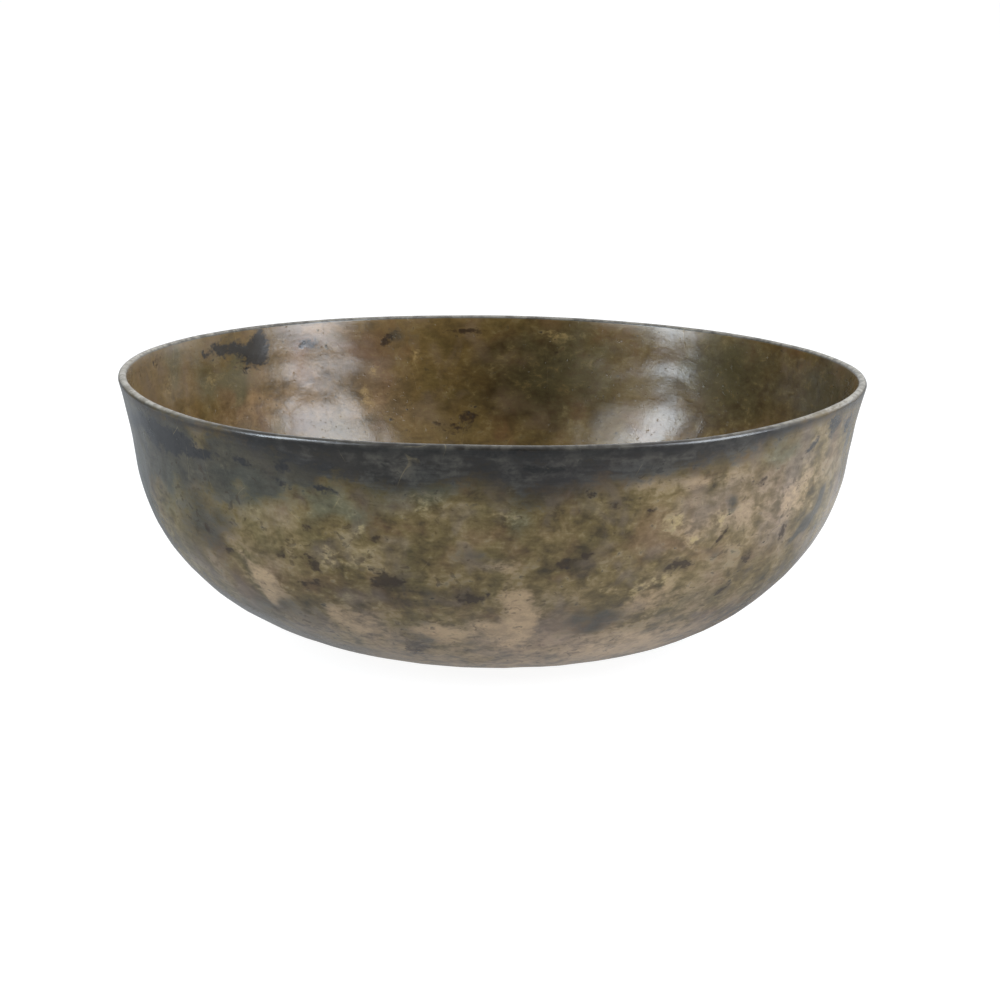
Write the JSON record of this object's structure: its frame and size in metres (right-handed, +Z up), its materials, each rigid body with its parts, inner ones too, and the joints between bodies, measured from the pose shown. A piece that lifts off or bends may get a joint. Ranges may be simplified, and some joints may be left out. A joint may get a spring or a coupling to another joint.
{
  "type": "hammered bowl",
  "caption": "Wide hammered bronze bowl with a dark patina: rounded bottom with a small flat to stand on, steep sides, slightly flared rim and a thick rounded lip.",
  "frame": {"origin": "middle of the flat on the underside that the bowl stands on", "axes": "+Z up, out of the open mouth, along the bowl's axis; the bowl is round about Z, so X and Y are free"},
  "size_m": [0.2802, 0.2802, 0.0992],
  "materials": {
    "patinated_bronze": "aged hammered bronze, semi-gloss, mottled olive-brown and golden-brown patina with near-black stains, pinkish worn patches and fine scratches"
  },
  "bodies": {
    "root": {"bowl": "patinated_bronze"}
  },
  "joints": []
}
